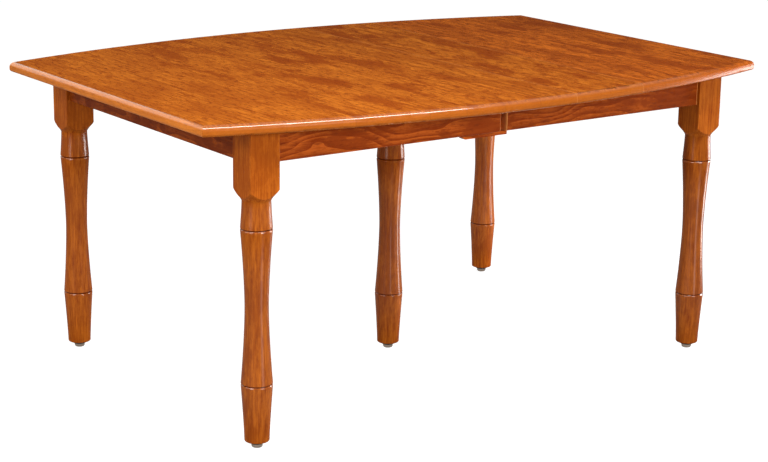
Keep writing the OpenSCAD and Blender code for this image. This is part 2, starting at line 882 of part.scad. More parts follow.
// Section of an outer rail, with its two tongue grooves and its rack groove
module outer_rail_section() {
    difference() {
        translate([rail_in, 0]) square([rail_w, rail_h]);
        for (s = [-1, 1])
            translate([rail_in - over, rail_mid + s * tongue_offset - tongue_h / 2 - rail_gap])
                square([tongue_d + over, tongue_h + 2 * rail_gap]);
        translate([rail_in - over, rail_mid - gear_t / 2 - hole_gap])
            square([rack_depth + hole_gap - rail_in + over, gear_t + 2 * hole_gap]);
    }
}

module outer_rail(side, y) {
    color(slide_wood)
        rail_place(side, y)
            difference() {
                along_x(-rail_half, rail_half) outer_rail_section();
                translate([-rail_half - over, 0, rail_h - rail_relief])
                    cube([rail_half + over, rail_in + rail_w + over, rail_relief + over]);
                translate([-stop_x, stop_y, -over])
                    cylinder(r = stop_r + hole_gap, h = stop_len + hole_gap + over);
                for (i = [0 : rail_screw_count - 1])
                    translate([rail_screw_seam + i * rail_screw_step, rail_screw_y, rail_h]) {
                        screw_hole(rail_screw_wood, over);
                        head_hole(rail_screw_wood, rail_h);
                    }
            }
}

// A tongue on both sides of the middle rail, at one height
module tongues(height, from, to) {
    translate([from, -mid_rail_w / 2 - tongue_d, height - tongue_h / 2])
        cube([to - from, mid_rail_w + 2 * tongue_d, tongue_h]);
}

module middle_rail(y) {
    gap_end = stop_x + stop_r + rail_gap;
    pocket_h = gear_t + 2 * gear_gap;
    color(slide_wood)
        flip(1, y)
            translate([0, slide_y, rail_z])
                difference() {
                    union() {
                        translate([-rail_half, -mid_rail_w / 2, -mid_rail_drop])
                            cube([2 * rail_half, mid_rail_w, rail_h]);
                        tongues(rail_mid + tongue_offset, -rail_half, rail_half);
                        tongues(rail_mid - tongue_offset, -rail_half, -gap_end);
                        tongues(rail_mid - tongue_offset, gap_end, rail_half);
                    }
                    translate([-gear_pocket, -mid_rail_w, rail_mid - pocket_h / 2])
                        cube([2 * gear_pocket, 2 * mid_rail_w, pocket_h]);
                    translate([0, 0, -mid_rail_drop - over])
                        cylinder(r = gear_pin_r + hole_gap, h = gear_pin_top + mid_rail_drop + hole_gap + over);
                    for (x = [-1, 1])
                        translate([x * plank_screw_x, 0, -mid_rail_drop])
                            screw_hole(over, screw_bite);
                }
}

// Section of a rack: teeth from rack_first to rack_last, with a space between teeth at x = 0
function rack_tooth(x) =
    let(
        half = tooth_pitch / 4 - tooth_slack,
        root = half + root_h * tan(pressure_angle),
        tip = half - tip_h * tan(pressure_angle)
    )
    [[x - root, rack_face], [x - tip, pitch_r - tip_h], [x + tip, pitch_r - tip_h], [x + root, rack_face]];

function rack_outline() = concat(
    [[rack_first * tooth_pitch, rack_depth], [rack_first * tooth_pitch, rack_face]],
    [for (k = [rack_first : rack_last]) each rack_tooth((k + 0.5) * tooth_pitch)],
    [[(rack_last + 1) * tooth_pitch, rack_face], [(rack_last + 1) * tooth_pitch, rack_depth]]
);

module racks(side) {
    color(nylon)
        for (y = [-1, 1])
            rail_place(side, y)
                translate([0, 0, rail_mid - gear_t / 2])
                    linear_extrude(gear_t) mirror([1, 0]) polygon(rack_outline());
}

module stop_pins(side) {
    color(zinc)
        for (y = [-1, 1])
            rail_place(side, y) translate([-stop_x, stop_y, 0]) cylinder(r = stop_r, h = stop_len);
}

// Angle in degrees that an involute has turned through at a radius
function involute(r) = r <= base_r ? 0 : tan(acos(base_r / r)) * 180 / PI - acos(base_r / r);

// Half the angle of a tooth at a radius
function tooth_half(r) =
    90 / gear_teeth - tooth_slack / pitch_r * 180 / PI + involute(pitch_r) - involute(r);

function gear_point(r, a) = [r * cos(a), r * sin(a)];

function gear_outline() =
    let(radii = [for (i = [0 : flank_steps]) base_r + (pitch_r + tip_h - base_r) * i / flank_steps])
    [for (k = [0 : gear_teeth - 1])
        let(a = 90 + k * 360 / gear_teeth)
        each concat(
            [gear_point(pitch_r - root_h, a - tooth_half(base_r))],
            [for (r = radii) gear_point(r, a - tooth_half(r))],
            [for (i = [flank_steps : -1 : 0]) gear_point(radii[i], a + tooth_half(radii[i]))],
            [gear_point(pitch_r - root_h, a + tooth_half(base_r))]
        )];

module gear(y) {
    color(nylon)
        flip(1, y)
            translate([0, slide_y, rail_z + rail_mid - gear_t / 2])
                difference() {
                    linear_extrude(gear_t) polygon(gear_outline());
                    translate([0, 0, -over])
                        cylinder(r = gear_pin_r + gear_pin_gap, h = gear_t + 2 * over);
                }
}

module gear_pins() {
    color(zinc)
        for (y = [-1, 1])
            flip(1, y)
                translate([0, slide_y, rail_z - mid_rail_drop])
                    cylinder(r = gear_pin_r, h = gear_pin_top + mid_rail_drop);
}

// The four lag bolts through the plank into the middle leg
module lag_places() {
    for (x = [-1, 1], y = [-1, 1])
        translate([mid_leg_x + x * lag_span / 2, mid_leg_y + y * lag_span / 2, plank_z + plank_t])
            children();
}

// The screws up through the plank into the middle rails
module plank_screw_places() {
    for (x = [-1, 1], y = [-1, 1])
        translate([x * plank_screw_x, y * slide_y, plank_z + plank_t]) children();
}

module cross_plank() {
    length = slide_y + plank_over;
    color(slide_wood)
        difference() {
            translate([-plank_w / 2, -length, plank_z]) cube([plank_w, 2 * length, plank_t]);
            lag_places()
                translate([0, 0, -plank_t - over])
                    cylinder(r = bolt_r + hole_gap, h = plank_t + 2 * over);
            plank_screw_places() {
                screw_hole(plank_screw_wood, over);
                head_hole(plank_screw_wood, plank_t);
            }
        }
}

module plank_screws() {
    color(zinc) plank_screw_places() screw(plank_screw_wood, screw_bite);
}

module middle_leg_bolts() {
    color(zinc)
        lag_places() {
            flanged_hex();
            translate([0, 0, -plank_t - lag_depth]) cylinder(r = bolt_r, h = plank_t + lag_depth + over);
        }
}

// A plate screwed under the top, with a headed stud below it
module stud_plate(x, y) {
    head_z = lever_z - lever_gap - stud_head_t;
    translate([x, y, 0])
        difference() {
            union() {
                translate([-lock_plate_w / 2, -lock_plate_len / 2, plate_z])
                    cube([lock_plate_w, lock_plate_len, lock_plate_t]);
                translate([0, 0, head_z]) cylinder(r = stud_head_r, h = stud_head_t);
                translate([0, 0, head_z]) cylinder(r = stud_r, h = plate_z - head_z + over);
            }
            for (s = [-1, 1]) translate([0, s * lock_screw_y, z_under]) plate_screw(hole_gap);
        }
}

module lock_plates() {
    color(zinc) for (y = [-1, 1]) stud_plate(-lock_pivot_x, y * lock_y);
}

module lock_keepers() {
    color(zinc) for (y = [-1, 1]) stud_plate(lock_stud_x, y * lock_y);
}

// Outline of a lever, pivot at the origin, lying in its locked position along +X.
// Its curved slot opens on the side that meets the stud first.
module lever_outline() {
    difference() {
        union() {
            circle(lever_w / 2);
            translate([-lever_tail, -lever_w / 2]) square([lever_tail + lock_reach, lever_w]);
            translate([lock_reach, 0]) circle(lever_tip_r);
        }
        circle(stud_r + lever_bore_gap);
        translate([lock_reach, 0]) circle(slot_w / 2);
        intersection() {
            difference() {
                circle(lock_reach + slot_w / 2);
                circle(lock_reach - slot_w / 2);
            }
            polygon([[0, 0], [2 * lock_reach, 0], [2 * lock_reach, -lock_reach]]);
        }
    }
}

module lock_lever(y) {
    color(zinc)
        flip(1, y)
            translate([-lock_pivot_x, lock_y, 0])
                rotate([0, 0, 90]) {
                    translate([0, 0, lever_z]) linear_extrude(lever_t) lever_outline();
                    translate([-lever_tail, -lever_w / 2, lever_z - thumb_h])
                        cube([lever_t, lever_w, thumb_h + lever_t]);
                }
}

board(-1, left_widths, 0);  // left_board_1
board(-1, left_widths, 1);  // left_board_2
board(-1, left_widths, 2);  // left_board_3
board(-1, left_widths, 3);  // left_board_4
board(-1, left_widths, 4);  // left_board_5
board(-1, left_widths, 5);  // left_board_6
board(1, right_widths, 0);  // right_board_1
board(1, right_widths, 1);  // right_board_2
board(1, right_widths, 2);  // right_board_3
board(1, right_widths, 3);  // right_board_4
board(1, right_widths, 4);  // right_board_5
board(1, right_widths, 5);  // right_board_6
side_skirt(-1, -1);  // left_front_skirt
side_skirt(-1, 1);  // left_back_skirt
end_skirt(-1);  // left_end_skirt
side_skirt(1, -1);  // right_front_skirt
side_skirt(1, 1);  // right_back_skirt
end_skirt(1);  // right_end_skirt
corner_leg(-1, -1);  // left_front_leg
corner_leg(-1, 1);  // left_back_leg
corner_leg(1, -1);  // right_front_leg
corner_leg(1, 1);  // right_back_leg
middle_leg();
color(nickel) under_legs(-1) glide();  // left_glides
color(nickel) under_legs(1) glide();  // right_glides
color(nickel) under_middle() glide();  // middle_glide
color(dark_rubber) under_legs(-1) cushion();  // left_glide_cushions
color(dark_rubber) under_legs(1) cushion();  // right_glide_cushions
color(dark_rubber) under_middle() cushion();  // middle_glide_cushion
skirt_guides();
corner_brackets(-1);  // left_corner_brackets
corner_brackets(1);  // right_corner_brackets
corner_bolts(-1);  // left_corner_bolts
corner_bolts(1);  // right_corner_bolts
corner_nuts(-1);  // left_corner_nuts
corner_nuts(1);  // right_corner_nuts
half_screws(-1);  // left_screws
half_screws(1);  // right_screws
plank_screws();
outer_rail(-1, -1);  // front_left_rail
outer_rail(-1, 1);  // back_left_rail
outer_rail(1, -1);  // front_right_rail
outer_rail(1, 1);  // back_right_rail
middle_rail(-1);  // front_middle_rail
middle_rail(1);  // back_middle_rail
racks(-1);  // left_racks
racks(1);  // right_racks
stop_pins(-1);  // left_stop_pins
stop_pins(1);  // right_stop_pins
gear(-1);  // front_gear
gear(1);  // back_gear
gear_pins();
cross_plank();
middle_leg_bolts();
lock_plates();
lock_keepers();
lock_lever(-1);  // front_lock_lever
lock_lever(1);  // back_lock_lever
alignment_pins();
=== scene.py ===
import bpy
from math import asin, cos, pi, radians, sin
from mathutils import Euler, Matrix, Vector


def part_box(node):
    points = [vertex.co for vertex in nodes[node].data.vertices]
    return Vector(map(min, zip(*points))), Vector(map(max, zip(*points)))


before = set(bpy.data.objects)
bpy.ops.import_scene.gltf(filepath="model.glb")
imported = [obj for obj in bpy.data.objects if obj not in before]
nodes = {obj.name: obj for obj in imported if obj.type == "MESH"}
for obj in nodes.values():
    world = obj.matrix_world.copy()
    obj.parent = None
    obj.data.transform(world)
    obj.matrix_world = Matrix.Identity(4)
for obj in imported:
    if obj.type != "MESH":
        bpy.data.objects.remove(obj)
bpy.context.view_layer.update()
print("frame loaded:", len(nodes), "nodes")


def srgb(red, green, blue):  # 0 to 255 as seen on the screen, in the linear values Blender uses
    return tuple(c / 3294.6 if c <= 10 else ((c / 255 + 0.055) / 1.055) ** 2.4
                 for c in (red, green, blue)) + (1.0,)


columnWidth, rowHeight = 190, 170  # spacing in the node editor


def addNode(tree, kind, column, row, **settings):
    node = tree.nodes.new(kind)
    node.location = (column * columnWidth, -row * rowHeight)
    for name, value in settings.items():
        setattr(node, name, value)
    return node


def feed(tree, socket, source):  # a socket takes a link or a plain value
    if isinstance(source, bpy.types.NodeSocket):
        tree.links.new(source, socket)
    elif source is not None:
        socket.default_value = source


def feedAll(tree, node, sources):
    for name, source in sources.items():
        feed(tree, node.inputs[name], source)


def calc(tree, operation, column, row, first, second=None, clamp=False):
    node = addNode(tree, "ShaderNodeMath", column, row, operation=operation, use_clamp=clamp)
    feed(tree, node.inputs[0], first)
    feed(tree, node.inputs[1], second)
    return node.outputs[0]


def centre(tree, column, row, value):  # 0 to 1 becomes -0.5 to 0.5
    return calc(tree, "SUBTRACT", column, row, value, 0.5)


def calcVector(tree, operation, column, row, first, second=None):
    node = addNode(tree, "ShaderNodeVectorMath", column, row, operation=operation)
    feed(tree, node.inputs[0], first)
    feed(tree, node.inputs[1], second)
    return node.outputs["Vector"]


def split(tree, column, row, vector):  # a vector's three values
    node = addNode(tree, "ShaderNodeSeparateXYZ", column, row)
    feed(tree, node.inputs[0], vector)
    return node.outputs


def spread(tree, column, row, value, low, high, toLow=0.0, toHigh=1.0):  # a smooth step
    node = addNode(tree, "ShaderNodeMapRange", column, row, interpolation_type="SMOOTHSTEP")
    for socket, source in zip(node.inputs, (value, low, high, toLow, toHigh)):
        feed(tree, socket, source)
    return node.outputs[0]


def blendColors(tree, column, row, share, first, second, mode="MIX"):
    node = addNode(tree, "ShaderNodeMix", column, row, data_type="RGBA", blend_type=mode)
    feed(tree, node.inputs["Factor"], share)
    feed(tree, node.inputs[6], first)   # 6, 7 and 2 are the colour sockets of this node
    feed(tree, node.inputs[7], second)
    return node.outputs[2]


def grey(tree, column, row, value):  # one value as a colour
    node = addNode(tree, "ShaderNodeCombineColor", column, row)
    for i in range(3):
        feed(tree, node.inputs[i], value)
    return node.outputs[0]


def noise(tree, column, row, vector, scale, detail, roughness, color=False):
    stretched = calcVector(tree, "MULTIPLY", column, row, vector, scale)
    node = addNode(tree, "ShaderNodeTexNoise", column + 1, row)
    feedAll(tree, node, {"Scale": 1.0, "Detail": detail, "Roughness": roughness,
                         "Vector": stretched})
    return node.outputs["Color" if color else 0]


def newGroup(name, inputs, outputs):
    group = bpy.data.node_groups.new(name, "ShaderNodeTree")
    for label, kind, value in inputs:
        socket = group.interface.new_socket(name=label, in_out="INPUT",
                                            socket_type="NodeSocket" + kind)
        if value is not None:
            socket.default_value = value
    for label, kind in outputs:
        group.interface.new_socket(name=label, in_out="OUTPUT", socket_type="NodeSocket" + kind)
    given = addNode(group, "NodeGroupInput", -2, 0).outputs
    result = addNode(group, "NodeGroupOutput", 16, 0).inputs
    return group, given, result


def newMaterial(name):
    material = bpy.data.materials.new(name)
    material.use_nodes = True
    material.node_tree.nodes.clear()
    return material, material.node_tree


def finishMaterial(tree, column, shader):
    out = addNode(tree, "ShaderNodeOutputMaterial", column, 0)
    feed(tree, out.inputs["Surface"], shader)


# the camera stands where the photograph was taken from; metres, degrees and millimetres of lens
cameraSettings = {
    "place": (-2.8798, -4.0024, 1.6024),
    "pitch": -14.239, "yaw": -35.97, "roll": 0.9,
    "lens": 90.42, "shift": (-0.0138, -0.0152), "farthest": 100,
}


def makeCamera(look):
    data = bpy.data.cameras.new("camera")
    data.lens = look["lens"]
    data.shift_x, data.shift_y = look["shift"]
    data.clip_end = look["farthest"]
    camera = bpy.data.objects.new("camera", data)
    bpy.context.scene.collection.objects.link(camera)
    aim = Euler((radians(90 + look["pitch"]), 0, radians(look["yaw"]))).to_matrix()
    turn = aim @ Matrix.Rotation(radians(look["roll"]), 3, "Z")
    camera.matrix_world = Matrix.Translation(look["place"]) @ turn.to_4x4()
    bpy.context.scene.camera = camera


makeCamera(cameraSettings)
print("camera ready")


# sizes and places in metres, power in watts
lampSettings = {
    "frontSoftbox": {"place": (0.2, -4.6, 1.85), "aim": (0.0, 0.0, 0.5), "size": (1.7, 1.1),
                     "power": 130, "color": (1.0, 0.985, 0.96)},
    "cornerSoftbox": {"place": (-3.6, -1.5, 2.3), "aim": (-0.4, 0.0, 0.6), "size": (1.6, 1.6),
                      "power": 56, "color": (1.0, 0.985, 0.96)},
    "lowFill": {"place": (-5.6, -1.9, 0.85), "aim": (0.3, -0.2, 0.5), "size": (1.7, 1.4),
                "power": 79, "color": (1.0, 0.985, 0.96)},
    "overheadBox": {"place": (0.1, -1.6, 2.8), "aim": (0.0, 0.0, 0.7), "size": (2.1, 0.5),
                    "power": 50, "color": (1.0, 0.98, 0.95)},
    "leftSoftbox": {"place": (-3.8, 0.6, 1.9), "aim": (-0.4, 0.0, 0.5), "size": (1.6, 1.6),
                    "power": 20, "color": (1.0, 0.96, 0.90)},
    "backSoftbox": {"place": (-1.5, 4.2, 2.2), "aim": (-0.3, 0.0, 0.7), "size": (3.4, 2.6),
                    "power": 44, "color": (1.0, 0.94, 0.86)},
    "rightStrip": {"place": (2.7, -0.6, 0.54), "aim": (0.0, -0.4, 0.5), "size": (0.45, 1.06),
                   "power": 30, "color": (1.0, 0.97, 0.95)},
    "nearStrip": {"place": (1.75, -0.75, 0.33), "aim": (0.0, 0.0, 0.3), "size": (0.26, 0.64),
                  "power": 10, "color": (1.0, 0.96, 0.94)},
}
# low cards that draw a soft streak down a leg: how far across the leg's half width the streak is
# seen, how far away the card stands, its heights and width, and how bright it is (1 is white)
cardSettings = {
    "nearLegCard": {"leg": "left_front_leg", "across": 0.42, "away": 0.8, "heights": (0.0, 0.34),
                    "width": 0.26, "level": 2.2},
    "rightLegCard": {"leg": "right_front_leg", "across": 0.27, "away": 0.8, "heights": (0.0, 0.30),
                     "width": 0.2, "level": 2.6},
    "middleLegCard": {"leg": "middle_leg", "across": 0.74, "away": 0.5, "heights": (0.0, 0.42),
                      "width": 0.08, "level": 11.0},
    "farLegCard": {"leg": "right_back_leg", "across": 0.72, "away": 0.5, "heights": (0.0, 0.48),
                   "width": 0.08, "level": 9.0},
}
cardColor = (1.0, 0.95, 0.92)
# the world's brightness, where it changes (as a direction's Z), and what the camera itself sees
worldSettings = {"horizon": 0.024, "overhead": 0.48, "below": 0.08, "seen": 1.0,
                 "upperHeights": (0.30, 0.90), "lowerHeights": (-0.30, 0.0)}
# the floor glows for the camera, and is darker in reflections to keep the lacquer's colour
floorSettings = {"radius": 26.0, "corners": 96, "color": srgb(140, 140, 139), "glow": 0.93,
                 "mirrored": 0.2, "mirroredColor": srgb(96, 96, 95)}


def makeLamp(name, look):
    data = bpy.data.lights.new(name, "AREA")
    data.shape = "RECTANGLE"
    data.size, data.size_y = look["size"]
    data.energy = look["power"]
    data.color = look["color"]
    lamp = bpy.data.objects.new(name, data)
    bpy.context.scene.collection.objects.link(lamp)
    lamp.visible_camera = False
    lamp.location = look["place"]
    direction = Vector(look["aim"]) - Vector(look["place"])
    lamp.rotation_euler = direction.to_track_quat("-Z", "Y").to_euler()


def makeCard(name, look):
    low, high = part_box(look["leg"])
    bottom, top = look["heights"]
    aim = Vector(((low.x + high.x) / 2, (low.y + high.y) / 2, (bottom + top) / 2))
    # a round leg's surface mirrors what lies at twice its own turn away from the camera
    heading = radians(cameraSettings["yaw"] - 90) + 2 * asin(look["across"])
    place = aim + look["away"] * Vector((cos(heading), sin(heading), 0))
    power = look["level"] * pi * look["width"] * (top - bottom)
    makeLamp(name, {"place": place, "aim": aim, "size": (look["width"], top - bottom),
                    "power": power, "color": cardColor})


def makeWorld(look):
    world = bpy.data.worlds.new("studio")
    bpy.context.scene.world = world
    world.use_nodes = True
    tree = world.node_tree
    tree.nodes.clear()
    direction = addNode(tree, "ShaderNodeTexCoord", 0, 0).outputs["Generated"]
    height = split(tree, 1, 0, direction)["Z"]
    upper = spread(tree, 2, 0, height, *look["upperHeights"], look["horizon"], look["overhead"])
    lower = spread(tree, 2, 1, height, *look["lowerHeights"], look["below"], look["horizon"])
    isUpper = calc(tree, "GREATER_THAN", 3, 1, height, 0.0)
    level = blendColors(tree, 4, 0, isUpper, lower, upper)
    rays = addNode(tree, "ShaderNodeLightPath", 3, 3).outputs
    level = blendColors(tree, 4, 1, rays["Is Camera Ray"], level, (look["seen"],) * 3 + (1,))
    back = addNode(tree, "ShaderNodeBackground", 5, 0)
    feedAll(tree, back, {"Color": (1, 1, 1, 1), "Strength": level})
    out = addNode(tree, "ShaderNodeOutputWorld", 6, 0)
    feed(tree, out.inputs["Surface"], back.outputs[0])


def makeFloor(look):
    corners = [Matrix.Rotation(radians(360 * i / look["corners"]), 3, "Z")
               @ Vector((look["radius"], 0, 0)) for i in range(look["corners"])]
    mesh = bpy.data.meshes.new("floor")
    mesh.from_pydata([tuple(p) for p in corners], [], [list(range(look["corners"]))])
    floor = bpy.data.objects.new("floor", mesh)
    bpy.context.scene.collection.objects.link(floor)
    material, tree = newMaterial("paleFloor")
    rays = addNode(tree, "ShaderNodeLightPath", 0, 0).outputs
    isMirrored = calc(tree, "MAXIMUM", 1, 1, rays["Is Glossy Ray"], rays["Is Transmission Ray"])
    matt = addNode(tree, "ShaderNodeBsdfDiffuse", 2, 0)
    feed(tree, matt.inputs["Color"], blendColors(tree, 1, 3, isMirrored, look["color"],
                                                 look["mirroredColor"]))
    mirrored = calc(tree, "MULTIPLY", 2, 1, isMirrored, look["mirrored"])
    direct = calc(tree, "MULTIPLY", 2, 2, rays["Is Camera Ray"], look["glow"])
    glow = addNode(tree, "ShaderNodeEmission", 3, 1)
    feed(tree, glow.inputs["Strength"], calc(tree, "MAXIMUM", 3, 2, mirrored, direct))
    both = addNode(tree, "ShaderNodeAddShader", 4, 0)
    feed(tree, both.inputs[0], matt.outputs[0])
    feed(tree, both.inputs[1], glow.outputs[0])
    finishMaterial(tree, 5, both.outputs[0])
    mesh.materials.append(material)


for name, look in lampSettings.items():
    makeLamp(name, look)
for name, look in cardSettings.items():
    makeCard(name, look)
makeWorld(worldSettings)
makeFloor(floorSettings)
bpy.context.scene.view_settings.view_transform = "Standard"
print("studio ready")


# what every wooden piece starts from
woodLook = {
    "grain": "x", "seed": 1.0, "light": srgb(214, 118, 34), "deep": srgb(150, 66, 14),
    "dark": srgb(104, 36, 8),
    "ringScale": 45.0,       # 45 is a growth ring every 7 mm
    "ringStrength": 0.5,
    "flow": 0.05,            # how far the figure wanders, in metres
    "streaks": 1.5, "mottle": 2.2, "patches": 0.6, "flecks": 0.9,
    "ripple": 0.0,           # curly figure across the grain
    "shade": 1.0, "roughness": 0.28, "specular": 0.08, "ior": 1.5, "bump": 0.05,
    "bumpDepth": 0.0006,
    "lines": (),             # (axis, place in metres, width, colour, strength)
    # thicker lacquer, and more or less stain, where the edges are rounded
    "edgeGloss": 0, "endGloss": 0.6, "edgeStain": 0.45,
    "edgeColor": srgb(146, 78, 24), "endColor": srgb(158, 76, 18),
    "turnedShade": None,     # painted shade: the turning darkened to a share of the block's colour above it
    "bandGloss": (),         # (height in metres, width, strength) of thicker lacquer round a leg
    "coatRoughness": 0.12, "coatIor": 1.8,
}
woodSockets = {  # the looks that the shared wood group takes
    "seed": "Seed", "light": "Light Stain", "deep": "Deep Stain", "dark": "Dark Stain",
    "ringScale": "Ring Scale", "ringStrength": "Ring Strength", "flow": "Flow",
    "streaks": "Streaks", "mottle": "Mottle", "patches": "Patches", "flecks": "Flecks",
    "ripple": "Ripple", "shade": "Shade", "roughness": "Roughness",
}
figure = {  # fineness per metre along and across the grain, then detail and roughness
    "wander": ((2.8, 8.0, 8.0), 2.0, 0.5),
    "fibres": ((12.0, 330.0, 330.0), 3.0, 0.6),
    "streaks": ((7.0, 95.0, 95.0), 4.0, 0.62),
    "mottle": ((20.0, 44.0, 44.0), 8.0, 0.80),
    "patches": ((5.0, 11.0, 11.0), 6.0, 0.66),
    "dashes": ((40.0, 190.0, 190.0), 3.0, 0.6),
    "curls": ((5.0, 9.0, 9.0), 1.0, 0.5),
}
ringWave = {"Distortion": 1.4, "Detail": 2.0, "Detail Scale": 0.35, "Detail Roughness": 0.5}
curlWave = {"Scale": 21.0, "Distortion": 3.0, "Detail": 1.0, "Detail Scale": 1.5}
woodRules = {
    "seedShift": (1.31, 0.73, 0.47),   # metres that one step of seed moves the noise
    "heartShift": (0.0, 0.021, 0.0),   # and the heart of the growth rings
    "fibreStrength": 1.8,
    "curlWobble": (0.008, 0.0, 0.0), "curlRange": (0.48, 0.64),
    "patchMottle": 0.12, "patchRange": (0.51, 0.585), "dashRange": (0.55, 0.66),
    "endRange": (0.45, 0.95),          # what counts as end grain, by the normal along the grain
    "endCalm": 0.65, "endDark": 0.2,   # how far it hides the figure and takes the dark stain
    "poreDullness": 0.15, "mottleDullness": 0.12,
    "fibreHeight": 0.6, "streakHeight": 0.3,
}


def makeWoodGroup(rules):  # stained wood, shared by every wooden piece; X runs along the grain
    inputs = [("Vector", "Vector", None), ("Normal", "Vector", None)]
    for key, label in woodSockets.items():
        inputs.append((label, "Color" if "Stain" in label else "Float", woodLook[key]))
    outputs = (("Color", "Color"), ("Roughness", "Float"), ("Height", "Float"))
    group, given, result = newGroup("stainedWood", inputs, outputs)
    seed = calcVector(group, "MULTIPLY", 0, 0, given["Seed"], rules["seedShift"])
    place = calcVector(group, "ADD", 1, 0, given["Vector"], seed)

    # a slow wander bends the growth rings into arches and swirls
    drift = noise(group, 1, 1, place, *figure["wander"], color=True)
    drift = calcVector(group, "SUBTRACT", 3, 1, drift, (0.5, 0.5, 0.5))
    amount = calcVector(group, "MULTIPLY", 4, 2, given["Flow"], (0.0, 1.0, 1.0))
    drift = calcVector(group, "MULTIPLY", 4, 1, drift, amount)
    heart = calcVector(group, "MULTIPLY", 3, 2, given["Seed"], rules["heartShift"])
    bent = calcVector(group, "ADD", 5, 1, given["Vector"], drift)
    bent = calcVector(group, "ADD", 6, 1, bent, heart)
    rings = addNode(group, "ShaderNodeTexWave", 7, 1, wave_type="RINGS", rings_direction="X",
                    wave_profile="SAW")
    feedAll(group, rings, {"Vector": bent, "Scale": given["Ring Scale"], **ringWave})
    ringTone = centre(group, 8, 1, rings.outputs["Fac"])
    ringTone = calc(group, "MULTIPLY", 9, 1, ringTone, given["Ring Strength"])

    # fine fibres, broader streaks, and blotches where the stain sank deeper
    fibres = noise(group, 1, 3, place, *figure["fibres"])
    streaks = noise(group, 1, 4, place, *figure["streaks"])
    mottle = noise(group, 1, 5, place, *figure["mottle"])
    patches = noise(group, 1, 6, place, *figure["patches"])
    dashes = noise(group, 1, 7, place, *figure["dashes"])
    mottleTone = centre(group, 3, 5, mottle)
    fibreTone = calc(group, "MULTIPLY", 4, 3, centre(group, 3, 3, fibres), rules["fibreStrength"])
    streakTone = calc(group, "MULTIPLY", 4, 4, centre(group, 3, 4, streaks), given["Streaks"])
    mottleTone = calc(group, "MULTIPLY", 4, 5, mottleTone, given["Mottle"])

    # curly figure: bands across the grain that come and go
    wobble = calcVector(group, "MULTIPLY", 3, 8, mottle, rules["curlWobble"])
    curl = addNode(group, "ShaderNodeTexWave", 5, 8, wave_type="BANDS", bands_direction="X")
    curlPlace = calcVector(group, "ADD", 4, 8, given["Vector"], wobble)
    feedAll(group, curl, {"Vector": curlPlace, **curlWave})
    curlHere = noise(group, 3, 9, place, *figure["curls"])
    curlHere = spread(group, 5, 9, curlHere, *rules["curlRange"])
    curlTone = calc(group, "MULTIPLY", 7, 8, centre(group, 6, 8, curl.outputs["Fac"]), curlHere)
    curlTone = calc(group, "MULTIPLY", 8, 8, curlTone, given["Ripple"])

    # end grain drinks more stain and hides the figure
    alongGrain = split(group, 8, 10, given["Normal"])["X"]
    endMask = calc(group, "ABSOLUTE", 9, 10, alongGrain)
    endMask = spread(group, 10, 10, endMask, *rules["endRange"])
    calm = calc(group, "MULTIPLY", 11, 10, endMask, rules["endCalm"])
    calm = calc(group, "SUBTRACT", 12, 2, 1.0, calm)
    tone = calc(group, "ADD", 5, 3, fibreTone, streakTone)
    for column, extra in ((6, mottleTone), (10, ringTone), (11, curlTone)):
        tone = calc(group, "ADD", column, 3, tone, extra)
    tone = calc(group, "MULTIPLY", 12, 3, tone, calm)
    tone = calc(group, "ADD", 12, 4, tone, 0.5, clamp=True)
    color = blendColors(group, 13, 0, tone, given["Deep Stain"], given["Light Stain"])

    patchMask = calc(group, "MULTIPLY", 3, 6, mottleTone, rules["patchMottle"])
    patchMask = calc(group, "ADD", 4, 6, patches, patchMask)
    patchMask = spread(group, 5, 6, patchMask, *rules["patchRange"])
    patchMask = calc(group, "MULTIPLY", 6, 6, patchMask, given["Patches"])
    patchMask = calc(group, "MULTIPLY", 7, 6, patchMask, calm)
    fleckMask = spread(group, 4, 7, dashes, *rules["dashRange"])
    fleckMask = calc(group, "MULTIPLY", 5, 7, fleckMask, given["Flecks"])
    fleckMask = calc(group, "MULTIPLY", 6, 7, fleckMask, calm)
    color = blendColors(group, 14, 0, patchMask, color, given["Deep Stain"])
    dark = calc(group, "MULTIPLY", 12, 10, endMask, rules["endDark"])
    dark = calc(group, "MAXIMUM", 9, 6, fleckMask, dark)
    color = blendColors(group, 14, 2, dark, color, given["Dark Stain"])
    shade = grey(group, 14, 1, given["Shade"])
    color = blendColors(group, 15, 0, 1.0, color, shade, "MULTIPLY")

    # the lacquer is a little duller over open pores
    pores = calc(group, "MULTIPLY", 13, 5, fleckMask, rules["poreDullness"])
    dull = calc(group, "MULTIPLY", 13, 6, centre(group, 12, 6, mottle), rules["mottleDullness"])
    rough = calc(group, "ADD", 14, 5, given["Roughness"], pores)
    rough = calc(group, "ADD", 15, 5, rough, dull)
    height = calc(group, "MULTIPLY", 13, 7, fibres, rules["fibreHeight"])
    height = calc(group, "SUBTRACT", 14, 7, height, fleckMask)
    streakHeight = calc(group, "MULTIPLY", 14, 8, streaks, rules["streakHeight"])
    height = calc(group, "ADD", 15, 7, height, streakHeight)
    feed(group, result["Color"], color)
    feed(group, result["Roughness"], rough)
    feed(group, result["Height"], height)
    return group


def makeBandGroup():  # a soft mask where a coordinate lies close to a value
    group, given, result = newGroup("lineMask", (
        ("Value", "Float", 0.0), ("Place", "Float", 0.0), ("Width", "Float", 0.001),
        ("Strength", "Float", 1.0),
    ), (("Mask", "Float"),))
    away = calc(group, "SUBTRACT", 0, 0, given["Value"], given["Place"])
    away = calc(group, "ABSOLUTE", 1, 0, away)
    half = calc(group, "MULTIPLY", 1, 1, given["Width"], 0.5)
    near = spread(group, 2, 0, away, half, given["Width"], 1.0, 0.0)
    feed(group, result["Mask"], calc(group, "MULTIPLY", 3, 0, near, given["Strength"]))
    return group


woodGroup = makeWoodGroup(woodRules)
bandGroup = makeBandGroup()
grainTurns = {"x": (0, 0, 0), "y": (0, 0, radians(-90)), "z": (0, radians(90), 0)}
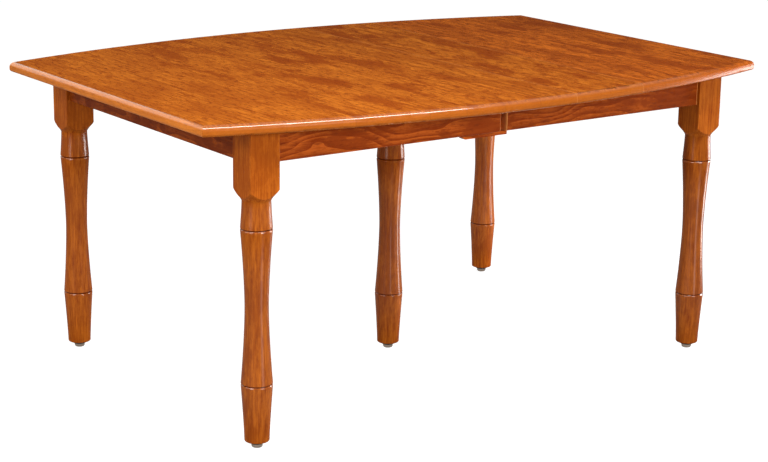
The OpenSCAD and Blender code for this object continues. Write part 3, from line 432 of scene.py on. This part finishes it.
# a rounded edge by its normal: Z where it starts and where the flat top ends it, X of the ends
edgeRules = {"rising": (0.30, 0.50), "level": (0.97, 0.995), "endward": (0.35, 0.70)}
turnedHeights = (0.583, 0.591)  # metres; all is turned below the first, and block above the second


def addMask(tree, row, value, place, width, strength):
    mask = addNode(tree, "ShaderNodeGroup", 2, row, node_tree=bandGroup)
    feedAll(tree, mask, {"Value": value, "Place": place, "Width": width, "Strength": strength})
    return mask.outputs["Mask"]


def makeWood(name, **changes):
    look = {**woodLook, **changes}
    material, tree = newMaterial(name)
    coordinates = addNode(tree, "ShaderNodeTexCoord", 0, 0).outputs
    turned = addNode(tree, "ShaderNodeMapping", 1, 0)
    turned.inputs["Rotation"].default_value = grainTurns[look["grain"]]
    feed(tree, turned.inputs["Vector"], coordinates["Object"])
    facing = addNode(tree, "ShaderNodeMapping", 1, 2, vector_type="VECTOR")
    facing.inputs["Rotation"].default_value = grainTurns[look["grain"]]
    feed(tree, facing.inputs["Vector"], coordinates["Normal"])
    wood = addNode(tree, "ShaderNodeGroup", 2, 0, node_tree=woodGroup, width=180)
    feedAll(tree, wood, {"Vector": turned.outputs[0], "Normal": facing.outputs[0]})
    for key, label in woodSockets.items():
        wood.inputs[label].default_value = look[key]
    axes = split(tree, 1, 4, coordinates["Object"])
    # painted shade: below the block a leg's colour is darkened to its turning's share
    if look["turnedShade"]:
        shade = spread(tree, 1, 5, axes["Z"], *turnedHeights,
                       look["shade"] * look["turnedShade"], look["shade"])
        feed(tree, wood.inputs["Shade"], shade)
    color = wood.outputs["Color"]
    # lines paint glue joints, groove lines with painted shade, and painted highlights at skirt
    # ends
    for row, (axis, place, width, lineColor, strength) in enumerate(look["lines"], start=3):
        mask = addMask(tree, row, axes[axis], place, width, strength)
        color = blendColors(tree, 3, row, mask, color, lineColor)
    bump = addNode(tree, "ShaderNodeBump", 3, 1)
    feedAll(tree, bump, {"Strength": look["bump"], "Distance": look["bumpDepth"],
                         "Height": wood.outputs["Height"]})
    finish = addNode(tree, "ShaderNodeBsdfPrincipled", 5, 0)
    finish.inputs["IOR"].default_value = look["ior"]
    finish.inputs["Specular IOR Level"].default_value = look["specular"]
    gloss = None
    if look["edgeGloss"]:
        slope = split(tree, 2, 12, coordinates["Normal"])
        rising = spread(tree, 3, 12, slope["Z"], *edgeRules["rising"])
        level = spread(tree, 3, 13, slope["Z"], *edgeRules["level"], 1.0, 0.0)
        endward = calc(tree, "ABSOLUTE", 3, 14, slope["X"])
        endward = spread(tree, 4, 14, endward, *edgeRules["endward"])
        amount = spread(tree, 5, 14, endward, 0.0, 1.0, look["edgeGloss"], look["endGloss"])
        gloss = calc(tree, "MULTIPLY", 4, 12, rising, level)
        gloss = calc(tree, "MULTIPLY", 6, 12, gloss, amount)
        # more or less stain on rounded edges; a pale end colour also paints a sheen on the rounded
        # ends
        edgeColor = blendColors(tree, 4, 13, endward, look["edgeColor"], look["endColor"])
        edgeStainAndSheen = calc(tree, "MULTIPLY", 4, 13, level, look["edgeStain"])
        color = blendColors(tree, 5, 13, edgeStainAndSheen, color, edgeColor)
    for row, band in enumerate(look["bandGloss"], start=12):
        mask = addMask(tree, row, axes["Z"], *band)
        gloss = mask if gloss is None else calc(tree, "MAXIMUM", 3, row, gloss, mask)
    if gloss is not None:
        feed(tree, finish.inputs["Coat Weight"], gloss)
        finish.inputs["Coat Roughness"].default_value = look["coatRoughness"]
        finish.inputs["Coat IOR"].default_value = look["coatIor"]
    feedAll(tree, finish, {"Base Color": color, "Roughness": wood.outputs["Roughness"],
                           "Normal": bump.outputs[0]})
    finishMaterial(tree, 7, finish.outputs[0])
    return material


def dress(material, *names):
    for name in names:
        slots = nodes[name].data.materials
        slots.clear()
        slots.append(material)


# the top: twelve boards with the grain across the table
golden = {"light": srgb(218, 124, 36), "deep": srgb(158, 72, 14), "dark": srgb(118, 42, 8)}
russet = {"light": srgb(206, 109, 31), "deep": srgb(140, 61, 13), "dark": srgb(104, 38, 8),
          "mottle": 2.8, "streaks": 1.9, "patches": 0.9}
topLook = {"grain": "y", "edgeGloss": 1.0}
boardLooks = {
    # left_board_6's pale end colour is partly lighter wood, partly a painted sheen on the rounded
    # left end
    "left_board_6": {**golden, "seed": 1.2, "shade": 1.08, "patches": 0.45, "mottle": 3.0,
                     "streaks": 2.1, "endColor": srgb(226, 136, 56)},
    "left_board_5": {**golden, "seed": 2.7, "shade": 1.09, "patches": 0.5, "mottle": 2.8,
                     "streaks": 2.0},
    "left_board_4": {**golden, "seed": 3.9, "shade": 1.08, "patches": 0.9, "mottle": 2.6},
    "left_board_3": {**golden, "seed": 5.1, "shade": 1.04, "patches": 1.0},
    "left_board_2": {**golden, "seed": 6.6, "shade": 1.03, "patches": 1.0},
    "left_board_1": {**golden, "seed": 7.4, "shade": 1.0, "patches": 0.9},
    "right_board_1": {**golden, "seed": 8.8, "shade": 0.94, "patches": 0.5},
    "right_board_2": {**golden, "seed": 9.3, "shade": 0.94, "patches": 1.0},
    "right_board_3": {**russet, "seed": 10.9, "shade": 1.06, "patches": 0.6},
    "right_board_4": {**russet, "seed": 12.1, "shade": 1.13, "ripple": 0.5},
    "right_board_5": {**russet, "seed": 13.6, "shade": 1.13, "ripple": 0.6, "edgeGloss": 0.4},
    "right_board_6": {**russet, "seed": 14.2, "shade": 1.06, "ripple": 0.3, "edgeGloss": 0.1,
                      "endGloss": 0.1, "edgeStain": 0.2},
}
# paleLine colours the pale glue joints and also the painted highlight at the side skirts' ends
paleLine, darkLine = srgb(226, 150, 84), srgb(112, 46, 14)
paleJoints = (0.115, 0.345)  # the joints that show pale, in metres right of the seam
jointReach = 0.002           # how near to one of them a board's edge has to lie, in metres
jointLine = {"width": 0.0016, "pale": 0.5, "dark": 0.3}  # width in metres, then two strengths


def dressTop():
    for name, look in boardLooks.items():
        low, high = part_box(name)
        edges = []
        for place in (low.x, high.x):
            if any(abs(place - joint) < jointReach for joint in paleJoints):
                edges.append((0, place, jointLine["width"], paleLine, jointLine["pale"]))
            else:
                edges.append((0, place, jointLine["width"], darkLine, jointLine["dark"]))
        dress(makeWood("topStain." + name, **{**topLook, "lines": edges, **look}), name)


dressTop()
print("top dressed")


# skirts, legs, brackets and slides
skirtLook = {"light": srgb(192, 92, 30), "deep": srgb(140, 56, 14), "dark": srgb(96, 32, 8),
             "flow": 0.17, "ringScale": 22.0, "ringStrength": 1.2, "streaks": 1.3, "patches": 0.8,
             "flecks": 0.35, "specular": 0.06}
legLook = {"light": srgb(204, 110, 30), "deep": srgb(146, 64, 12), "dark": srgb(108, 38, 8),
           "flow": 0.02, "ringStrength": 0.15, "streaks": 1.3, "mottle": 1.7, "patches": 0.6,
           "flecks": 0.2, "roughness": 0.24, "specular": 0.06, "coatRoughness": 0.14, "bump": 0.02}
slideLook = {"light": srgb(226, 196, 150), "deep": srgb(202, 166, 118), "dark": srgb(164, 124, 82),
             "flow": 0.01, "ringStrength": 0.3, "mottle": 0.4, "patches": 0.1, "roughness": 0.55}
# shade: partly each skirt's own tone, partly painted shade under the overhang and towards the
# right
skirtTones = {  # grain, seed, shade
    "left_front_skirt": ("x", 1.7, 0.9), "left_back_skirt": ("x", 4.4, 0.9),
    "right_front_skirt": ("x", 6.3, 0.79), "right_back_skirt": ("x", 8.1, 0.79),
    "left_end_skirt": ("y", 3.3, 0.64), "right_end_skirt": ("y", 9.4, 0.64),
}
skirtEndHighlight = {"width": 0.0022, "strength": 0.7}  # painted highlight: a pale line down each end of a side skirt, over its end face and front arris
# the block's shade, partly the leg's own tone and partly painted light and shade that lightens or
# darkens a whole leg to suit how light reaches it, and the turning's painted shade as a share of
# it; then the thickness of the lacquer on the neck, on the turning below it and on the shoulder
# under each groove
legTones = {
    "left_front_leg": {"seed": 2.2, "shade": 0.92, "turned": 0.82,
                       "neck": 0.26, "turning": 0.28, "shoulder": 0.7},
    "left_back_leg": {"seed": 5.7, "shade": 0.9, "turned": 0.96,
                      "neck": 0.25, "turning": 0.2, "shoulder": 0.5},
    "middle_leg": {"seed": 14.6, "shade": 0.82, "turned": 0.8,
                   "neck": 0.2, "turning": 0.35, "shoulder": 0.1},
    "right_front_leg": {"seed": 8.3, "shade": 0.76, "turned": 0.76,
                        "neck": 0.05, "turning": 0.3, "shoulder": 0.6},
    "right_back_leg": {"seed": 11.9, "shade": 1.15, "turned": 0.79,
                       "neck": 0.1, "turning": 0.35, "shoulder": 0.2},
}
# heights and widths on a leg, in metres
grooveHeights = (0.154, 0.519)
# a dark line in each groove: stain settled there, and painted shade in the notch
grooveStainAndShade = {"rise": 0.0008, "width": 0.0022, "color": srgb(84, 28, 8), "strength": 0.85}
shoulderBand = {"drop": 0.0024, "width": 0.0032}
neckBand = {"height": 0.549, "width": 0.034}
turningBand = {"height": 0.27, "width": 0.26}
plainWood = {  # name of the material: grain, seed and the pieces that share it
    "guideStain": ("x", 15.1, ("skirt_guides",)),
    "bracketStain": ("x", 16.2, ("left_corner_brackets", "right_corner_brackets")),
    "plankStain": ("y", 17.5, ("cross_plank",)),
}
railNames = ("front_left_rail", "back_left_rail", "front_right_rail", "back_right_rail",
             "front_middle_rail", "back_middle_rail")
railSeed, railSeedStep = 18.3, 1.4


def dressWood():
    for name, (grain, seed, shade) in skirtTones.items():
        low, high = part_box(name)
        # painted highlight: a pale line over each end face of a side skirt and its front arris
        ends = [(0, place, skirtEndHighlight["width"], paleLine, skirtEndHighlight["strength"])
                for place in (low.x, high.x) if grain == "x"]
        dress(makeWood("skirtStain." + name, grain=grain, seed=seed, shade=shade, lines=ends,
                       **skirtLook), name)
    # the groove lines are partly settled stain and partly painted shade in the notch
    grooves = [(2, height + grooveStainAndShade["rise"], grooveStainAndShade["width"], grooveStainAndShade["color"],
                grooveStainAndShade["strength"]) for height in grooveHeights]
    for name, look in legTones.items():
        bands = [(height - shoulderBand["drop"], shoulderBand["width"], look["shoulder"])
                 for height in grooveHeights]
        bands += [(neckBand["height"], neckBand["width"], look["neck"]),
                  (turningBand["height"], turningBand["width"], look["turning"])]
        dress(makeWood("legStain." + name, grain="z", seed=look["seed"], shade=look["shade"],
                       turnedShade=look["turned"], lines=grooves, bandGloss=bands, **legLook),
              name)
    for name, (grain, seed, pieces) in plainWood.items():
        dress(makeWood(name, grain=grain, seed=seed, **skirtLook), *pieces)
    for i, name in enumerate(railNames):
        dress(makeWood("bareWood." + name, grain="x", seed=railSeed + i * railSeedStep,
                       **slideLook), name)


dressWood()
print("skirts, legs and slides dressed")


scuffClouds = ((1.0, 1.0, 1.0), 4.0, 0.6)      # stretch, detail and roughness of each noise
scuffScratches = ((0.8, 0.8, 14.0), 2.0, 0.5)


def makeScuffGroup():  # faint cloudy wear and fine scratches on metal, nylon and rubber
    group, given, result = newGroup("scuffs", (
        ("Vector", "Vector", None), ("Color", "Color", (0.5, 0.5, 0.5, 1)),
        ("Roughness", "Float", 0.3), ("Amount", "Float", 0.3), ("Scale", "Float", 120.0),
    ), (("Color", "Color"), ("Roughness", "Float"), ("Height", "Float")))
    scaled = addNode(group, "ShaderNodeVectorMath", 0, 0, operation="SCALE")
    feed(group, scaled.inputs[0], given["Vector"])
    feed(group, scaled.inputs["Scale"], given["Scale"])
    clouds = centre(group, 4, 0, noise(group, 1, 0, scaled.outputs[0], *scuffClouds))
    scratches = centre(group, 4, 1, noise(group, 1, 1, scaled.outputs[0], *scuffScratches))
    mixed = calc(group, "ADD", 5, 0, clouds, scratches)
    mixed = calc(group, "MULTIPLY", 6, 0, mixed, given["Amount"])
    tone = grey(group, 8, 0, calc(group, "ADD", 7, 0, mixed, 1.0))
    rough = calc(group, "MULTIPLY", 8, 1, mixed, 0.5)
    rough = calc(group, "ADD", 9, 1, rough, given["Roughness"], clamp=True)
    feed(group, result["Color"], blendColors(group, 9, 0, 1.0, given["Color"], tone, "MULTIPLY"))
    feed(group, result["Roughness"], rough)
    feed(group, result["Height"], mixed)
    return group


scuffGroup = makeScuffGroup()
scuffDepth = 0.0004  # metres
hardLooks = {
    "brightNickel": {"color": srgb(226, 206, 188), "metal": 1.0, "roughness": 0.12,
                     "amount": 0.25, "scale": 160.0, "bump": 0.03,
                     "on": ("left_glides", "right_glides", "middle_glide")},
    "softRubber": {"color": srgb(44, 38, 34), "metal": 0.0, "roughness": 0.75,
                   "amount": 0.35, "scale": 300.0, "bump": 0.15,
                   "on": ("left_glide_cushions", "right_glide_cushions", "middle_glide_cushion")},
    "zincPlate": {"color": srgb(176, 178, 180), "metal": 1.0, "roughness": 0.36,
                  "amount": 0.30, "scale": 220.0, "bump": 0.08,
                  "on": ("left_corner_bolts", "right_corner_bolts", "left_corner_nuts",
                         "right_corner_nuts", "left_screws", "right_screws", "plank_screws",
                         "left_stop_pins", "right_stop_pins", "gear_pins", "middle_leg_bolts",
                         "lock_plates", "lock_keepers", "front_lock_lever", "back_lock_lever",
                         "alignment_pins")},
    "paleNylon": {"color": srgb(232, 229, 218), "metal": 0.0, "roughness": 0.45,
                  "amount": 0.12, "scale": 90.0, "bump": 0.05,
                  "on": ("front_gear", "back_gear", "left_racks", "right_racks")},
}


def makeHard(name, look):
    material, tree = newMaterial(name)
    place = addNode(tree, "ShaderNodeTexCoord", 0, 0).outputs["Object"]
    scuffs = addNode(tree, "ShaderNodeGroup", 1, 0, node_tree=scuffGroup)
    feedAll(tree, scuffs, {"Vector": place, "Color": look["color"],
                           "Roughness": look["roughness"], "Amount": look["amount"],
                           "Scale": look["scale"]})
    bump = addNode(tree, "ShaderNodeBump", 2, 1)
    feedAll(tree, bump, {"Strength": look["bump"], "Distance": scuffDepth,
                         "Height": scuffs.outputs["Height"]})
    finish = addNode(tree, "ShaderNodeBsdfPrincipled", 3, 0)
    feedAll(tree, finish, {"Metallic": look["metal"], "Base Color": scuffs.outputs["Color"],
                           "Roughness": scuffs.outputs["Roughness"], "Normal": bump.outputs[0]})
    finishMaterial(tree, 5, finish.outputs[0])
    return material


for name, look in hardLooks.items():
    dress(makeHard(name, look), *look["on"])
print("metal, nylon and rubber dressed")
